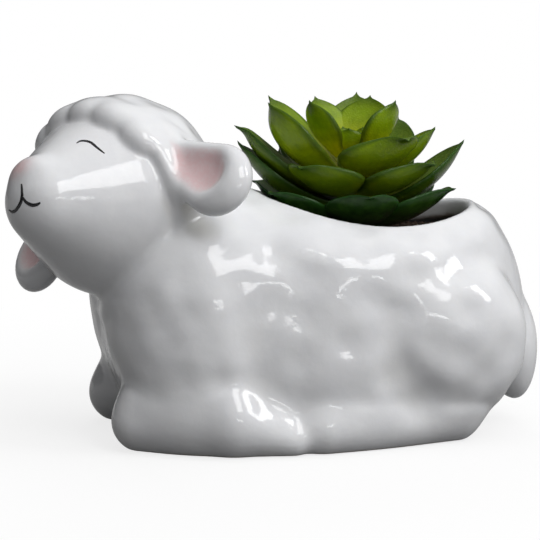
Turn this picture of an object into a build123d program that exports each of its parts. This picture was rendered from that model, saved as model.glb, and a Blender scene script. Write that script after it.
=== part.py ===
"""Lying lamb planter of glazed earthenware, with a soft plastic succulent standing in its soil.

Frame: +Z up, origin on the surface it stands on, +X towards the tail. The head is turned towards -Y.
"""

import math
import os

from build123d import *

# Ceramic: driving dimensions, in millimetres
WALL = 4.5
FLOOR = 5.0
BODY_LENGTH = 115.0
BODY_WIDTH = 82.0
RUMP_X = 73.0
BODY_HEIGHT = 67.0

# Torso levels, as shares: height, how far the chest and the rump pull in, and width
TORSO_LEVELS = (
    (0.00, 0.052, 0.146, 0.854),
    (0.15, 0.026, 0.079, 0.963),
    (0.45, 0.000, 0.000, 1.000),
    (0.69, 0.035, 0.017, 0.951),
    (0.87, 0.139, 0.065, 0.866),
    (0.99, 0.270, 0.126, 0.732),
)

# Rounded forms on the loaf of the body: middle and full sizes; the paired ones are given for the near flank
NECK = (-20.0, 0.0, 40.0)
NECK_SIZES = (55.0, 54.0, 80.0)
SHOULDER = (-24.0, -22.0, 26.0)
SHOULDER_SIZES = (38.0, 32.0, 50.0)
HAUNCH = (43.0, -24.0, 28.0)
HAUNCH_SIZES = (48.0, 34.0, 50.0)
TAIL = (70.3, -7.0, 21.0)
TAIL_SIZES = (12.0, 16.0, 22.0)

# Folded legs: place on the ground and radius at both ends, and how much of them is flattened where they lie
KNEE = (-40.0, -22.0)
KNEE_RADIUS = 8.5
FORE_TOE = (-8.0, -36.0)
FORE_TOE_RADIUS = 7.5
HOCK = (46.0, -26.0)
HOCK_RADIUS = 8.0
HIND_TOE = (8.0, -36.0)
HIND_TOE_RADIUS = 6.5
LEG_FLAT = 0.6

# The back is a trough: it falls towards the tail and rolls off to both flanks
BACK_ROLL_RADIUS = 55.5
BACK_FALL = 4.3

# Planting opening
OPENING_X = 25.5
OPENING_LENGTH = 62.0
OPENING_WIDTH = 52.0
SHOULDER_DROP = 6.0

# Base
DRAIN_RADIUS = 4.0
FOOT_WIDTH = 9.0
FOOT_DEPTH = 1.2

# Head: where it sits and how it is turned, tilted up and leaned; its own frame is forward, left and top
HEAD_CENTRE = (-46.0, -4.0, 66.0)
HEAD_YAW = 32.0
HEAD_PITCH = 12.0
HEAD_ROLL = 22.0
SKULL = (-2.0, 0.0, 0.0)
SKULL_RADIUS = 26.0
MUZZLE = (23.0, 2.2, -4.0)
MUZZLE_RADIUS = 12.5
NOSE = (29.2, 2.8, 2.6)
NOSE_SIZES = (9.2, 12.0, 8.4)

# Fleece hood, and the row of curls along its edge over the forehead
HOOD_RADIUS = 28.5
HOOD_TILT = 24.0
HOOD_EDGE = 2.0
HOOD_LEAN = 0.16
HOOD_LIFT = (1.1, 1.2, 1.5)
CURL_LENGTH = 15.6
CURL_THICKNESS = 9.0
CURL_CIRCLE = 25.0
CURL_LEAN = 2.4
CURL_FIRST = -27.0
CURL_STEP = 21.5
CURLS = 5

# Ears: flattened cones with round ends; root and direction of each in the head's frame. The cup is a smaller
# blade, by its share of the span and its shift along, across and out of the ear
EAR_ROOTS = {"left_ear": (0.5, 23.0, 6.5), "right_ear": (-3.5, -22.5, 3.5)}
EAR_DIRECTIONS = {"left_ear": (-0.18, 0.77, -0.66), "right_ear": (0.10, -0.75, -0.69)}
EAR_FACES = {"left_ear": (1.0, 0.25, 0.15), "right_ear": (1.0, -0.15, 0.15)}
EAR_SPANS = {"left_ear": 20.0, "right_ear": 14.5}
EAR_ROOT_RADIUS = 5.5
EAR_END_RADIUS = 11.0
EAR_FLATNESS = 0.52
CUP_SPAN = 0.78
CUP_ROOT_RADIUS = 2.9
CUP_END_RADIUS = 6.0
CUP_SHIFTS = {"left_ear": (0.8, 2.2, 4.5), "right_ear": (0.8, -2.0, 4.5)}

# Succulent and its soil
SOIL_TOP = 55.0
PLANT_X = 23.5
STEM_RADIUS = 4.0
STEM_FLAT = 3.4
STEM_FOOT = 30.0
STEM_TOP = 77.0
STEM_CLEARANCE = 0.3

# Leaf rings: each leaf is a pointed piece cut from a ball-shaped bowl. Name, bowl radius, how far the
# bowl's middle lies behind the stem, lowest point of the bowl, reach of the tips, width and directions
LEAF_RINGS = (
    ("outer", 40.0, 0.0, 57.2, 29.0, 16.5, (-37, -95, -154, 147, 88, 25)),
    ("lower", 35.0, 0.0, 62.0, 31.0, 16.5, (-6, 168, 110, 52)),
    ("front", 33.0, 0.0, 66.0, 24.5, 17.0, (-50, -130)),
    ("middle", 33.0, 0.0, 66.0, 30.5, 17.0, (169, 110, 52)),
    ("upper", 25.5, 0.0, 71.2, 25.2, 15.5, (-162, 138, 72)),
    ("side", 25.5, 0.0, 71.2, 22.6, 15.5, (-17, -76)),
    ("inner", 28.0, 14.0, 70.4, 13.4, 10.5, (197, 125, 55, -45)),
    ("bud", 30.0, 26.5, 59.0, 3.2, 4.0, (0, 120, 240)),
)
# Leaf form: half angle at the stem, shares of the half width and of the length where it is widest, and
# thickness at the stem as a share of the width
LEAF_WEDGE = 28.5
LEAF_SHOULDER = 0.8
LEAF_WIDEST = 0.22
LEAF_THICKNESS = 0.17
LEAF_TIP_THICKNESS = 0.6
SEAT_HEIGHT = 1.3

# Size of the blocks that cut everything on one side of a plane
EVERYTHING = 4 * BODY_LENGTH


def ellipsoid(length, width, height):
    """Solid ellipsoid about the origin, by its full sizes."""
    return scale(Sphere(0.5), by=(length, width, height))


def spheroid(length, thickness):
    """Ellipsoid of revolution, long along X."""
    half = Ellipse(length / 2, thickness / 2) & Pos(0, thickness) * Rectangle(2 * length, 2 * thickness)
    return revolve(half, Axis.X)


def round_cone(start, end, start_radius, end_radius):
    """Two balls and the tapered skin that is tangent to both."""
    way = Vector(*end) - Vector(*start)
    span = way.length
    lean = math.asin((start_radius - end_radius) / span)
    side = Vector(math.sin(lean), math.cos(lean))
    tail = Vector(-math.cos(math.pi / 4 + lean / 2), math.sin(math.pi / 4 + lean / 2))
    nose = Vector(math.cos(math.pi / 4 - lean / 2), math.sin(math.pi / 4 - lean / 2))
    far = Vector(span, 0)
    outline = [
        ThreePointArc(Vector(-start_radius, 0), tail * start_radius, side * start_radius),
        Line(side * start_radius, far + side * end_radius),
        ThreePointArc(far + side * end_radius, far + nose * end_radius, far + Vector(end_radius, 0)),
        Line(far + Vector(end_radius, 0), Vector(-start_radius, 0)),
    ]
    solid = revolve(make_face(Curve() + outline), Axis.X)
    across = Vector(0, 1, 0) if abs(way.Y) < 0.9 * span else Vector(0, 0, 1)
    return Plane(origin=start, x_dir=way, z_dir=way.cross(across)).location * solid


def both_sides(shape):
    """The shape and its twin across the middle plane."""
    return shape + mirror(shape, Plane.XZ)


def torso(inset=0.0):
    """Loaf of the body through level ovals, drawn in by the inset."""
    chest_x = RUMP_X - BODY_LENGTH
    levels = []
    for height, chest_in, rump_in, width in TORSO_LEVELS:
        front = chest_x + chest_in * BODY_LENGTH + inset
        rear = RUMP_X - rump_in * BODY_LENGTH - inset
        half_width = width * BODY_WIDTH / 2 - inset
        oval = Ellipse((rear - front) / 2, half_width)
        levels.append(Pos((rear + front) / 2, 0, height * BODY_HEIGHT) * oval)
    return loft(levels)


def back_trough(drop=0.0):
    """Long drum whose upper side is the saddle of the back."""
    drum = Rot(Y=90) * Cylinder(BACK_ROLL_RADIUS, EVERYTHING)
    return Pos(OPENING_X, 0, BODY_HEIGHT - drop - BACK_ROLL_RADIUS) * Rot(Y=BACK_FALL) * drum


def above(height):
    """Everything above a level."""
    return Pos(0, 0, height + EVERYTHING / 2) * Box(EVERYTHING, EVERYTHING, EVERYTHING)


def lying(place, radius):
    """Middle of a leg's end that lies on the ground, flattened."""
    return (*place, radius - LEG_FLAT)


def legs():
    """Forelegs and hind feet, folded along the flanks."""
    knee, fore_toe = lying(KNEE, KNEE_RADIUS), lying(FORE_TOE, FORE_TOE_RADIUS)
    hock, hind_toe = lying(HOCK, HOCK_RADIUS), lying(HIND_TOE, HIND_TOE_RADIUS)
    foreleg = round_cone(knee, fore_toe, KNEE_RADIUS, FORE_TOE_RADIUS)
    hind_foot = round_cone(hock, hind_toe, HOCK_RADIUS, HIND_TOE_RADIUS)
    return both_sides(foreleg + hind_foot)


def body_form():
    """Outside of the body: loaf, neck, shoulders, haunches and folded legs."""
    neck = Pos(*NECK) * ellipsoid(*NECK_SIZES)
    shoulders = both_sides(Pos(*SHOULDER) * ellipsoid(*SHOULDER_SIZES))
    haunches = both_sides(Pos(*HAUNCH) * ellipsoid(*HAUNCH_SIZES))
    form = (torso() + neck + shoulders + haunches) & back_trough()
    return (form + legs()) & above(0)


def cavity():
    """Hollow of the pot: a wall's thickness inside the loaf, with a floor, and the throat of the opening."""
    hollow = torso(WALL) & back_trough(SHOULDER_DROP) & above(FLOOR)
    throat = Pos(OPENING_X, 0, BODY_HEIGHT) * extrude(
        Ellipse(OPENING_LENGTH / 2, OPENING_WIDTH / 2), amount=BODY_HEIGHT / 2, both=True
    )
    return hollow + throat


def foot_recess():
    """Shallow hollow under the base, which leaves a ring to stand on."""
    _, chest_in, rump_in, width = TORSO_LEVELS[0]
    front = RUMP_X - BODY_LENGTH * (1 - chest_in)
    rear = RUMP_X - BODY_LENGTH * rump_in
    oval = Ellipse((rear - front) / 2 - FOOT_WIDTH, width * BODY_WIDTH / 2 - FOOT_WIDTH)
    return Pos((rear + front) / 2, 0, 0) * extrude(oval, amount=FOOT_DEPTH)


def body_casting(form, hollow):
    """The pot itself, open at the back and drained through the floor."""
    drain = Pos(OPENING_X, 0, 0) * Cylinder(DRAIN_RADIUS, 4 * FLOOR)
    return form - hollow - foot_recess() - drain


HEAD = Pos(*HEAD_CENTRE) * Rot(Z=180 + HEAD_YAW) * Rot(Y=-HEAD_PITCH) * Rot(X=HEAD_ROLL)


def hood_frame():
    """Frame of the fleece hood on the head: Z back out of its crown, X up over the forehead."""
    tilt = math.radians(HOOD_TILT)
    back = Vector(-math.cos(tilt), 0, math.sin(tilt))
    return Plane(origin=SKULL, x_dir=(math.sin(tilt), 0, math.cos(tilt)), z_dir=back).location


def head_form():
    """Outside of the head: face, nose, fleece hood and the row of curls over the forehead."""
    face = round_cone(SKULL, MUZZLE, SKULL_RADIUS, MUZZLE_RADIUS) + Pos(*NOSE) * ellipsoid(*NOSE_SIZES)
    edge = Plane(origin=(0, 0, -HOOD_EDGE), x_dir=(1, 0, 0), z_dir=(0, HOOD_LEAN, 1))
    hood = split(Pos(*HOOD_LIFT) * Sphere(HOOD_RADIUS), edge, keep=Keep.TOP)
    curls = Part()
    for number in range(CURLS):
        turn = CURL_FIRST + number * CURL_STEP
        down = HOOD_EDGE + CURL_LEAN * math.sin(math.radians(turn))
        curl = Rot(Z=90) * spheroid(CURL_LENGTH, CURL_THICKNESS)
        curls += Rot(Z=turn) * Pos(CURL_CIRCLE, 0, -down) * curl
    return HEAD * (face + hood_frame() * (hood + curls))


def head_casting(form, body):
    """Hollow head, open below, where it is luted to the neck."""
    inside = round_cone(SKULL, MUZZLE, SKULL_RADIUS - WALL, MUZZLE_RADIUS - WALL)
    return form - HEAD * inside - body


def flat_cone(span, root_radius, end_radius):
    """Ear-shaped blade along X: a round cone, flattened."""
    return scale(round_cone((0, 0, 0), (span, 0, 0), root_radius, end_radius), by=(1, 1, EAR_FLATNESS))


def ear(name, head, body):
    """Cupped ear, luted on beside the hood."""
    along = Vector(*EAR_DIRECTIONS[name]).normalized()
    out = along.cross(Vector(*EAR_FACES[name])).cross(along)
    seat = Plane(origin=EAR_ROOTS[name], x_dir=along, z_dir=out).location
    shell = flat_cone(EAR_SPANS[name], EAR_ROOT_RADIUS, EAR_END_RADIUS)
    cup = Pos(*CUP_SHIFTS[name]) * flat_cone(CUP_SPAN * EAR_SPANS[name], CUP_ROOT_RADIUS, CUP_END_RADIUS)
    return HEAD * seat * (shell - cup) - head - body


def tail(body):
    """Short tail that hangs down the rump."""
    return Pos(*TAIL) * ellipsoid(*TAIL_SIZES) - body


def soil(hollow):
    """Fill of the pot up to below the rim, with the hole that the stem stands in."""
    depth = SOIL_TOP - STEM_FOOT
    hole = Pos(PLANT_X, 0, STEM_FOOT + depth / 2) * Cylinder(STEM_RADIUS + STEM_CLEARANCE, depth)
    return hollow - above(SOIL_TOP) - hole


def stem():
    """Core that carries the leaves: a round peg with a bevelled foot and a flat at each leaf on its side."""
    peg = Cylinder(STEM_RADIUS, STEM_TOP - STEM_FOOT, align=(Align.CENTER, Align.CENTER, Align.MIN))
    foot = peg.edges().sort_by(Axis.Z)[0]
    core = Pos(0, 0, STEM_FOOT) * chamfer(foot, STEM_RADIUS / 2)
    for _, _, behind, low, _, width, ways in LEAF_RINGS:
        height = SEAT_HEIGHT * LEAF_THICKNESS * width
        block = Box(STEM_RADIUS, 2 * STEM_RADIUS, height, align=(Align.MIN, Align.CENTER, Align.MIN))
        for way in ways if behind == 0 else ():
            core -= Rot(Z=way) * Pos(STEM_FLAT, 0, low) * block
    return Pos(PLANT_X, 0, 0) * core


def leaf_outline(reach, width):
    """Plan of a leaf along X: a wedge from the stem's axis that rounds over its widest part to a point."""
    half = width / 2
    start = LEAF_SHOULDER * half / math.tan(math.radians(LEAF_WEDGE))
    widest = start + LEAF_WIDEST * (reach - start)
    edge = [
        Line((0, 0), (start, LEAF_SHOULDER * half)),
        Spline([(start, LEAF_SHOULDER * half), (widest, half), (reach, 0)]),
    ]
    outline = Curve() + edge + [mirror(piece, Plane.XZ) for piece in edge]
    return make_face(outline)


def leaf(radius, behind, low, reach, width):
    """Leaf along X: its outline cut from a bowl that is thick at the stem and thin at the tip."""
    thickness = LEAF_THICKNESS * width
    tip_turn = math.asin(min(1.0, (reach + behind) / radius))
    stem_turn = math.asin(behind / radius)
    rise = (thickness - LEAF_TIP_THICKNESS) / (math.cos(stem_turn) - math.cos(tip_turn))
    middle = low + radius
    under = Pos(-behind, 0, middle) * Sphere(radius)
    over = Pos(-behind, 0, middle + rise) * Sphere(radius - thickness + rise * math.cos(stem_turn))
    prism = Pos(0, 0, low) * extrude(leaf_outline(reach, width), amount=radius)
    return (prism & under) - over


def leaves():
    """Every leaf of the rosette, by node name: on the flats of the stem's side, or standing on its top."""
    made = {}
    past_flat = Pos(STEM_FLAT + EVERYTHING / 2, 0, 0) * Box(EVERYTHING, EVERYTHING, EVERYTHING)
    for name, radius, behind, low, reach, width, ways in LEAF_RINGS:
        form = leaf(radius, behind, low, reach, width) & (above(STEM_TOP) if behind else past_flat)
        for number, way in enumerate(ways, 1):
            made[f"{name}_leaf_{number}"] = Pos(PLANT_X, 0, 0) * Rot(Z=way) * form
    return made


def assembly():
    """All pieces by node name."""
    form = body_form()
    hollow = cavity()
    head = head_form()
    return {
        "body_casting": body_casting(form, hollow),
        "head_casting": head_casting(head, form),
        **{name: ear(name, head, form) for name in EAR_ROOTS},
        "tail": tail(form),
        "soil": soil(hollow),
        "stem": stem(),
        **leaves(),
    }


os.makedirs("parts", exist_ok=True)
for name, shape in assembly().items():
    export_step(shape, f"parts/{name}.step")
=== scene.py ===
"""Lying lamb planter in white glazed earthenware, with a soft plastic succulent: its looks.

The ceramic and the soil are implicit forms, worked out in millimetres and meshed here. The leaves are
lofted one by one. Every piece sits where the solid model has it.
"""

import math

import bpy
import numpy as np
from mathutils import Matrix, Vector


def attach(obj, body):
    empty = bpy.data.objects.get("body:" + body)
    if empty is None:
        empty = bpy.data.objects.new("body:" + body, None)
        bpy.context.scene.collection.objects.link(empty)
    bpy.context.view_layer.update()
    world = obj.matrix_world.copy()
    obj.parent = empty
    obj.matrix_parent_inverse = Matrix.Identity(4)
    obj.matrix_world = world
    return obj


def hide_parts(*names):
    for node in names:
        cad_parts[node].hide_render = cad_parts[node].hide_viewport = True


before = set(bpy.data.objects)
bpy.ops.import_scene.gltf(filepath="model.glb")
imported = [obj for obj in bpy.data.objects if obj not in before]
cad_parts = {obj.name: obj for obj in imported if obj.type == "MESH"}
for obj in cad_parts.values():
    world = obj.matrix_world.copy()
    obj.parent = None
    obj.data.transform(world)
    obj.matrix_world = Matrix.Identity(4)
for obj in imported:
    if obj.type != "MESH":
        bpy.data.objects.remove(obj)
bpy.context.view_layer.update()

MM = 0.001
random = np.random.default_rng(11)

# Mesh fineness, in millimetres
GLAZE_CELL = 0.85
SOIL_CELL = 1.1

# Ceramic, in millimetres; the loaf, its wall and its opening have the solid model's sizes
WALL = 4.5
FLOOR = 5.0
BODY_LENGTH = 115.0
BODY_WIDTH = 82.0
RUMP_X = 73.0
BODY_HEIGHT = 67.0
TORSO_LEVELS = np.array((
    (0.00, 0.052, 0.146, 0.854),
    (0.15, 0.026, 0.079, 0.963),
    (0.45, 0.000, 0.000, 1.000),
    (0.69, 0.035, 0.017, 0.951),
    (0.87, 0.139, 0.065, 0.866),
    (0.99, 0.270, 0.126, 0.732),
))
BACK_FALL = 0.075
BACK_ROLL = 0.009
OPENING_X = 25.5
OPENING_LENGTH = 62.0
OPENING_WIDTH = 52.0
SHOULDER_DROP = 6.0
DRAIN_RADIUS = 4.0
FOOT_WIDTH = 9.0
FOOT_DEPTH = 1.2

# Rounded forms on the body: middle and full sizes; the paired ones are given for the near flank
NECK = (-20.0, 0.0, 40.0)
NECK_SIZES = np.array((55.0, 54.0, 80.0))
THROAT = (-36.0, -13.0, 40.0)
THROAT_SIZES = np.array((22.0, 22.0, 34.0))
SHOULDER = (-24.0, -22.0, 29.0)
SHOULDER_SIZES = np.array((40.0, 32.0, 62.0))
HAUNCH = (41.0, -24.0, 28.0)
HAUNCH_SIZES = np.array((54.0, 34.4, 50.0))
TAIL = (70.0, -7.0, 20.0)
TAIL_SIZES = np.array((11.8, 16.0, 26.0))

# Folded legs: middle and radius at both ends; the foreleg tapers from its fetlock to the toe
KNEE = (-40.0, -22.0, 7.9)
KNEE_RADIUS = 8.5
FETLOCK = (-17.0, -33.7, 8.4)
FETLOCK_RADIUS = 9.1
FORE_TOE = (-1.8, -38.6, 3.6)
FORE_TOE_RADIUS = 3.6
HOCK = (46.0, -26.0, 7.4)
HOCK_RADIUS = 8.0
HIND_TOE = (8.0, -36.0, 5.9)
HIND_TOE_RADIUS = 6.5

# Grooves pressed in beside the haunch and the shoulder: both ends, radius and depth
GROOVES = (
    ((25.2, -40.0, 38.0), (26.0, -41.0, 22.0), 4.0, 2.2),
    ((27.5, -41.0, 20.0), (33.5, -40.5, 14.0), 5.6, 4.0),
    ((-13.5, -41.0, 37.0), (-9.0, -41.0, 17.0), 6.0, 1.8),
    ((-35.0, -33.0, 34.5), (-34.0, -33.5, 32.0), 4.5, 1.4),
)

# Thumbed fleece: distance between dents, ranges of their radii and depths, least share of fleece at the
# middle of a dent, and the deepest dent or groove as a share of the wall
DENT_SPACING = 9.8
DENT_RADII = (4.0, 6.0)
DENT_DEPTHS = (0.6, 1.4)
DENT_FLEECE = 0.35
DENT_LIMIT = 0.8
# Distances in millimetres from each smooth form at which the fleece begins and is full
FLEECE_FROM = {
    "legs": (1.0, 3.5),
    "face": (0.8, 2.4),
    "hood_edge": (3.0, 9.0),
    "curls": (4.0, 8.0),
    "ears": (1.0, 4.0),
    "hollow": (1.2, 3.6),
    "tail": (0.5, 3.0),
    "floor": (4.0, 9.0),
}

# Head, in its own frame of forward, left and top
HEAD_CENTRE = np.array((-46.0, -4.0, 66.0))
HEAD_YAW = 32.0
HEAD_PITCH = 12.0
HEAD_ROLL = 22.0
SKULL = np.array((-2.0, 0.0, 0.0))
SKULL_RADIUS = 26.0
MUZZLE = np.array((23.0, 2.2, -4.0))
MUZZLE_RADIUS = 12.5
NOSE = np.array((29.2, 2.8, 2.6))
NOSE_SIZES = np.array((9.2, 12.0, 8.4))
HOOD_SIZES = np.array((57.0, 56.0, 57.0))
HOOD_LIFT = np.array((-0.9, 1.2, 1.6))
HOOD_TILT = 24.0
HOOD_EDGE = 2.0
HOOD_LEAN = 0.16
CURL_SIZES = np.array((14.0, 9.6, 9.8))
CURL_UNEVEN = 1.6
CURL_CIRCLE = 25.0
CURL_LEAN = 2.4
CURL_FIRST = -27.0
CURL_STEP = 21.5
CURLS = 5
EAR_ROOTS = np.array(((0.5, 23.0, 5.2), (-3.5, -22.5, 3.5)))
EAR_DIRECTIONS = ((-0.22, 0.82, -0.56), (0.10, -0.75, -0.69))
EAR_FACES = ((1.0, 0.25, 0.15), (1.0, -0.15, 0.15))
EAR_SPANS = (19.5, 14.5)
EAR_ROOT_RADIUS = 5.5
EAR_END_RADIUS = 10.0
EAR_FLATNESS = 0.52
CUP_SPAN = 0.84
CUP_ROOT_RADIUS = 2.9
CUP_END_RADIUS = 6.3
CUP_SHIFTS = np.array(((-0.4, 0.9, 4.2), (0.8, -1.2, 4.2)))

# Pink sprayed on the nose: middle in the head's frame, reach in each direction, and strength
NOSE_SPRAY = MUZZLE + np.array((10.2, 0.4, 7.8))
NOSE_SPRAY_REACH = np.sqrt((30.0, 22.0, 13.0))
NOSE_SPRAY_SHARE = 0.85

# Soil and succulent, in millimetres
SOIL_TOP = 55.0
PLANT_X = 23.5
STEM_HOLE = 4.3

# Lumps of the soil: height, then two crossed waves, each with its turn per millimetre of x and of y and its
# start, in radians
SOIL_WAVES = (
    (0.50, (0.9, 0.0, 1.3), (0.0, 0.8, 0.0)),
    (0.40, (1.7, -0.9, 0.0), (0.0, 1.5, 0.6)),
    (0.25, (2.9, 2.1, 0.0), (-1.7, 3.1, 0.0)),
)
# Crumbs on the soil: how many are strewn, radii, unevenness, stretch, and distance kept from rim and stem
CRUMBS = 420
CRUMB_RADII = (0.5, 1.3)
CRUMB_ROUGHNESS = (0.65, 1.25)
CRUMB_STRETCH = (0.75, 1.2)
CRUMB_CLEARANCE = 2.0

# Surroundings: where they are brightest, and how dim and how bright they are
WORLD_LIGHT_FROM = (0.35, -0.25, 0.95)
WORLD_DIM = 0.03
WORLD_BRIGHT = 0.62

# Floor: how much of it shows in mirror images, half its side in metres, the grey that bounces light and the
# grey that is seen
FLOOR_MIRRORED = 0.2
FLOOR_HALF = 6.0
FLOOR_BOUNCE = (0.14, 0.14, 0.14)
FLOOR_SEEN = (0.93, 0.93, 0.93)
# Distances from the middle, in metres, between which it fades to plain white, and its share of white at the
# first
FLOOR_FADE = (0.06, 0.24)
FLOOR_WHITE_NEAR = 0.78

# Lamps: azimuth and elevation in degrees, width and height in metres, power in watts, and whether the glaze
# mirrors the lamp; all stand at one distance from the target, in metres
LAMPS = {
    "front_window": (20.0, 43.0, 0.34, 0.44, 2.3, True),
    "front_window_sill": (10.0, 13.0, 0.34, 0.06, 0.4, True),
    "tail_window": (58.0, 36.0, 0.22, 0.40, 2.0, True),
    "back_fill": (175.0, 30.0, 0.50, 0.50, 2.6, False),
    "overhead": (40.0, 76.0, 0.75, 0.75, 2.3, False),
}
LAMP_DISTANCE = 0.95
LAMP_TARGET = (0.0, 0.0, 0.05)

# Colours of the glaze, the bare clay, the painted lines, the soil and the plastic
GLAZE_THIN = (0.79, 0.795, 0.815)
GLAZE_THICK = (0.83, 0.835, 0.85)
# Darker, warmer white laid into deep creases
GLAZE_IN_CREASES = (0.72, 0.715, 0.69)
SPRAYED_PINK = (0.79, 0.56, 0.57)
CLAY_DARK = (0.66, 0.60, 0.52)
CLAY_PALE = (0.78, 0.73, 0.65)
INK_THICK = (0.010, 0.010, 0.012)
INK_THIN = (0.035, 0.034, 0.036)
SOIL_DARK = (0.018, 0.011, 0.007)
SOIL_PALE = (0.075, 0.043, 0.026)
SOIL_FIBRE = (0.15, 0.09, 0.05)
LEAF_SHADED = (0.012, 0.045, 0.006)
LEAF_SHADED_STREAK = (0.028, 0.082, 0.010)
LEAF_LIT_BASE = (0.50, 0.47, 0.003)
LEAF_LIT_END = (0.23, 0.34, 0.005)
LEAF_LIT_STREAK = (0.09, 0.16, 0.006)
LEAF_RIM = (0.012, 0.055, 0.008)
LEAF_FROST = (0.32, 0.42, 0.06)
STEM_DARK = (0.05, 0.10, 0.02)
STEM_PALE = (0.12, 0.18, 0.04)


def unit(vector):
    """The vector at length 1."""
    vector = np.asarray(vector, float)
    return vector / np.linalg.norm(vector)


def smooth_min(a, b, blend):
    """Lesser of two distances, with a fillet of about the blend's size where they are equal."""
    near = np.maximum(blend - np.abs(a - b), 0.0) / blend
    return np.minimum(a, b) - near * near * blend * 0.25


def smooth_max(a, b, blend):
    """Greater of two distances, rounded in the same way."""
    return -smooth_min(-a, -b, blend)


def smooth_step(low, high, value):
    """0 up to the low bound, 1 from the high one, with an even rise between them."""
    t = np.clip((value - low) / (high - low), 0.0, 1.0)
    return t * t * (3.0 - 2.0 * t)


def ellipsoid(p, centre, radii, axes=None):
    """Distance to an ellipsoid; the rows of axes are its own directions."""
    q = p - np.asarray(centre, float)
    if axes is not None:
        q = q @ axes.T
    radii = np.asarray(radii, float)
    near = np.sqrt(((q / radii) ** 2).sum(-1))
    slope = np.sqrt(((q / radii**2) ** 2).sum(-1)) + 1e-9
    return near * (near - 1.0) / slope


def round_cone(p, start, end, start_radius, end_radius):
    """Distance to two balls and the tapered skin between them."""
    start, end = np.asarray(start, float), np.asarray(end, float)
    way = end - start
    span = np.linalg.norm(way)
    lean = (start_radius - end_radius) / span
    rise = math.sqrt(1.0 - lean * lean)
    along = (p - start) @ (way / span)
    out = np.sqrt(np.maximum(((p - start) ** 2).sum(-1) - along**2, 0.0))
    skin = out * rise + along * lean - start_radius
    first = np.sqrt(out**2 + along**2) - start_radius
    last = np.sqrt(out**2 + (along - span) ** 2) - end_radius
    t = along * rise - out * lean
    return np.where(t < 0, first, np.where(t > span * rise, last, skin))


def head_axes():
    """Rows forward, left and top of the turned head."""
    yaw, pitch, roll = np.radians((HEAD_YAW, HEAD_PITCH, HEAD_ROLL))
    forward = np.array((-np.cos(yaw) * np.cos(pitch), -np.sin(yaw) * np.cos(pitch), np.sin(pitch)))
    level = np.array((np.sin(yaw), -np.cos(yaw), 0.0))
    top = np.cross(forward, level)
    left = level * np.cos(roll) + top * np.sin(roll)
    return np.array((forward, left, top * np.cos(roll) - level * np.sin(roll)))


HEAD = head_axes()


def to_head(p):
    """Points of the planter in the head's frame."""
    return (p - HEAD_CENTRE) @ HEAD.T


def from_head(q):
    """Points of the head's frame in the planter's."""
    return HEAD_CENTRE + np.asarray(q, float) @ HEAD


LEVEL_CURVES = [
    np.polynomial.Polynomial.fit(TORSO_LEVELS[:, 0], TORSO_LEVELS[:, column], len(TORSO_LEVELS) - 1)
    for column in (1, 2, 3)
]
HIGHEST_LEVEL = 1.01
# Keeps the loaf's field from rising faster than the distance
LOAF_SLOPE = 0.8


def torso(p, inset=0.0):
    """Loaf of the body: an oval at each level."""
    height = np.clip(p[..., 2] / BODY_HEIGHT, 0.0, HIGHEST_LEVEL)
    chest_in, rump_in, width = (curve(height) for curve in LEVEL_CURVES)
    front = RUMP_X - BODY_LENGTH * (1.0 - chest_in) + inset
    rear = RUMP_X - BODY_LENGTH * rump_in - inset
    half_length = (rear - front) / 2
    half_width = width * BODY_WIDTH / 2 - inset
    out = np.sqrt(((p[..., 0] - (rear + front) / 2) / half_length) ** 2 + (p[..., 1] / half_width) ** 2)
    return (out - 1.0) * np.minimum(half_length, half_width) * LOAF_SLOPE


def back(p):
    """Height over the saddle of the back."""
    return p[..., 2] - (BODY_HEIGHT - BACK_FALL * (p[..., 0] - OPENING_X) - BACK_ROLL * p[..., 1] ** 2)


def oval(p, centre_x, half_length, half_width):
    """Distance to an upright oval pipe."""
    out = np.sqrt(((p[..., 0] - centre_x) / half_length) ** 2 + (p[..., 1] / half_width) ** 2)
    return (out - 1.0) * min(half_length, half_width)


def cavity(p):
    """Hollow of the pot with the throat of its opening."""
    hollow = smooth_max(torso(p, WALL), back(p) + SHOULDER_DROP, blend=3.0)
    hollow = smooth_max(hollow, FLOOR - p[..., 2], blend=3.0)
    throat = oval(p, OPENING_X, OPENING_LENGTH / 2, OPENING_WIDTH / 2)
    throat = np.maximum(throat, BODY_HEIGHT / 2 - p[..., 2])
    return np.minimum(hollow, throat)


def near_side(p):
    """The point's twin on the near flank."""
    q = p.copy()
    q[..., 1] = -np.abs(q[..., 1])
    return q


def hood_ways():
    """Directions back from the hood's edge, up along it and to the left, in the head's frame."""
    tilt = math.radians(HOOD_TILT)
    back_way = np.array((-math.cos(tilt), 0.0, math.sin(tilt)))
    up_way = np.array((math.sin(tilt), 0.0, math.cos(tilt)))
    return back_way, up_way, np.array((0.0, 1.0, 0.0))


def hood_edge(q):
    """Distance behind the edge of the hood."""
    back_way, _, _ = hood_ways()
    return (q - SKULL) @ back_way + HOOD_EDGE + HOOD_LEAN * q[..., 1]


def hood(q):
    """Fleece hood of the head, with a row of curls over the forehead; q is in the head's frame."""
    back_way, up_way, side_way = hood_ways()
    crown = ellipsoid(q, SKULL + HOOD_LIFT, HOOD_SIZES / 2)
    crown = smooth_max(crown, -hood_edge(q), blend=3.0)
    for number in range(CURLS):
        turn = math.radians(CURL_FIRST + number * CURL_STEP)
        out = math.cos(turn) * up_way + math.sin(turn) * side_way
        along = -math.sin(turn) * up_way + math.cos(turn) * side_way
        centre = SKULL - back_way * (HOOD_EDGE + CURL_LEAN * math.sin(turn)) + CURL_CIRCLE * out
        sizes = CURL_SIZES + (CURL_UNEVEN * (number % 2), 0.0, 0.0)
        curl = ellipsoid(q, centre, sizes / 2, np.array((along, out, back_way)))
        crown = smooth_min(crown, curl, blend=1.1)
    return crown


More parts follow.
